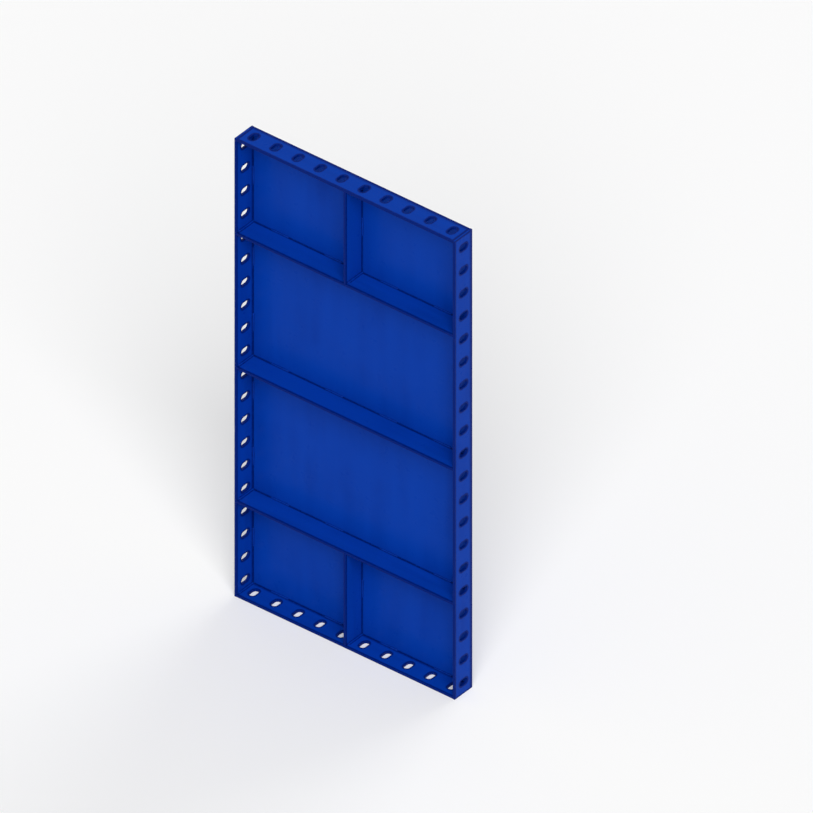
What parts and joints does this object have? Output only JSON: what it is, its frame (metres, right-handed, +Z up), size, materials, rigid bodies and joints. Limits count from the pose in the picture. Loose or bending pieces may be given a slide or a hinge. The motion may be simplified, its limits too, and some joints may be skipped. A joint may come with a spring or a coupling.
{
  "type": "formwork panel",
  "caption": "Flat steel formwork panel for casting concrete: a thin casting sheet in a slotted flat-bar frame, stiffened behind by welded cross ribs.",
  "frame": {"origin": "centre of the underside of the bounding box, the panel standing on a short edge", "axes": "+Z up the panel's length, +Y out of the casting face, -Y out of the ribbed side, +X along the width"},
  "size_m": [0.5, 0.05, 1],
  "materials": {
    "sheet_paint": "blue enamel over sheet steel, smooth",
    "strap_paint": "blue enamel over rolled flat bar",
    "rib_paint": "blue enamel over rolled flat bar",
    "weld_paint": "blue enamel over rippled weld beads"
  },
  "bodies": {
    "root": {"face_sheet": "sheet_paint", "left_edge_strap": "strap_paint", "right_edge_strap": "strap_paint", "top_edge_strap": "strap_paint", "bottom_edge_strap": "strap_paint", "upper_cross_rib": "rib_paint", "middle_cross_rib": "rib_paint", "lower_cross_rib": "rib_paint", "top_stub_rib": "rib_paint", "bottom_stub_rib": "rib_paint", "corner_welds": "weld_paint", "left_edge_welds": "weld_paint", "right_edge_welds": "weld_paint", "top_edge_welds": "weld_paint", "bottom_edge_welds": "weld_paint", "upper_rib_welds": "weld_paint", "middle_rib_welds": "weld_paint", "lower_rib_welds": "weld_paint", "top_stub_welds": "weld_paint", "bottom_stub_welds": "weld_paint"}
  },
  "joints": []
}
